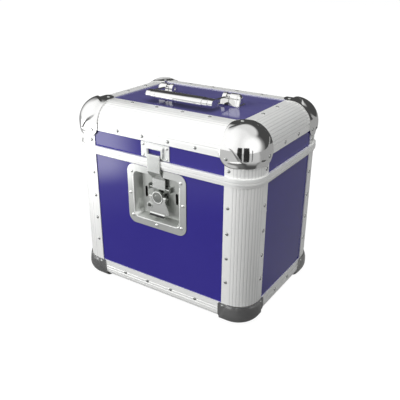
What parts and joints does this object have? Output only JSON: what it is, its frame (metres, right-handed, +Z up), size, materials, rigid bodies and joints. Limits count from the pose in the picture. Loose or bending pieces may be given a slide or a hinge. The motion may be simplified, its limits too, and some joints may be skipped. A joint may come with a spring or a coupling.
{
  "type": "record carrying case",
  "caption": "Blue record carrying case with ribbed aluminium edges, ball corners, a hinged lid, a recessed butterfly latch and a folding top handle.",
  "frame": {"origin": "on the floor under the middle of the closed case", "axes": "+Z up, -Y towards the front with the latch, +X towards the right end seen from the front"},
  "size_m": [0.3652, 0.272, 0.355],
  "materials": {
    "blue_laminate": "gloss laminate on plywood",
    "ribbed_aluminium": "satin anodised, fine ribs",
    "chrome_steel": "bright plated",
    "dark_nickel": "dark nickel plated",
    "zinc_steel": "bright zinc"
  },
  "bodies": {
    "case_body": {"front_panel": "blue_laminate", "back_panel": "blue_laminate", "left_panel": "blue_laminate", "right_panel": "blue_laminate", "bottom_panel": "blue_laminate", "post_front_left": "ribbed_aluminium", "post_front_right": "ribbed_aluminium", "post_back_left": "ribbed_aluminium", "post_back_right": "ribbed_aluminium", "base_edge_front": "ribbed_aluminium", "base_edge_back": "ribbed_aluminium", "base_edge_left": "ribbed_aluminium", "base_edge_right": "ribbed_aluminium", "base_corner_front_left": "dark_nickel", "base_corner_front_right": "dark_nickel", "base_corner_back_left": "dark_nickel", "base_corner_back_right": "dark_nickel", "body_rim": "ribbed_aluminium", "body_rivets": "zinc_steel", "latch_dish": "chrome_steel", "latch_stud": "chrome_steel", "hinge_leaves_body": "zinc_steel", "hinge_pins": "zinc_steel"},
    "lid": {"top_panel": "blue_laminate", "lid_front_panel": "blue_laminate", "lid_back_panel": "blue_laminate", "lid_left_panel": "blue_laminate", "lid_right_panel": "blue_laminate", "lid_post_front_left": "ribbed_aluminium", "lid_post_front_right": "ribbed_aluminium", "lid_post_back_left": "ribbed_aluminium", "lid_post_back_right": "ribbed_aluminium", "top_edge_front": "ribbed_aluminium", "top_edge_back": "ribbed_aluminium", "top_edge_left": "ribbed_aluminium", "top_edge_right": "ribbed_aluminium", "ball_corner_front_left": "chrome_steel", "ball_corner_front_right": "chrome_steel", "ball_corner_back_left": "chrome_steel", "ball_corner_back_right": "chrome_steel", "lid_rim": "ribbed_aluminium", "lid_rivets": "zinc_steel", "catch_plate": "chrome_steel", "hinge_leaves_lid": "zinc_steel", "handle_bracket_left": "chrome_steel", "handle_bracket_right": "chrome_steel", "handle_screws": "zinc_steel", "handle_pins": "chrome_steel"},
    "handle": {"handle_frame": "chrome_steel", "handle_grip": "chrome_steel"},
    "latch_rotor": {"latch_rotor": "chrome_steel", "latch_cap": "chrome_steel", "wing_pin": "chrome_steel"},
    "latch_slider": {"latch_slider": "chrome_steel", "hook_pin": "chrome_steel"},
    "latch_hook": {"latch_hook": "chrome_steel"},
    "latch_wing": {"latch_wing": "chrome_steel"}
  },
  "joints": [
    {"name": "lid_hinge", "type": "hinge", "parent": "case_body", "child": "lid", "pos_m": [0, 0.135, 0.2566], "axis": [-1, 0, 0], "range_deg": [0, 95]},
    {"name": "handle_fold", "type": "hinge", "parent": "lid", "child": "handle", "pos_m": [0, 0, 0.346], "axis": [-1, 0, 0], "range_deg": [0, 175]},
    {"name": "latch_turn", "type": "hinge", "parent": "case_body", "child": "latch_rotor", "pos_m": [0, -0.115, 0.195], "axis": [0, -1, 0], "range_deg": [0, 180]},
    {"name": "wing_fold", "type": "hinge", "parent": "latch_rotor", "child": "latch_wing", "pos_m": [0, -0.1229, 0.195], "axis": [-1, 0, 0], "range_deg": [0, 90]},
    {"name": "latch_slide", "type": "slide", "parent": "case_body", "child": "latch_slider", "axis": [0, 0, 1], "range_m": [0, 0.006]},
    {"name": "hook_tilt", "type": "hinge", "parent": "latch_slider", "child": "latch_hook", "pos_m": [0, -0.1177, 0.2095], "axis": [1, 0, 0], "range_deg": [0, 20]}
  ],
  "couplings": [
    {"joint": "latch_slide", "follows": "latch_turn", "m_per_rad": 0.0019099}
  ]
}
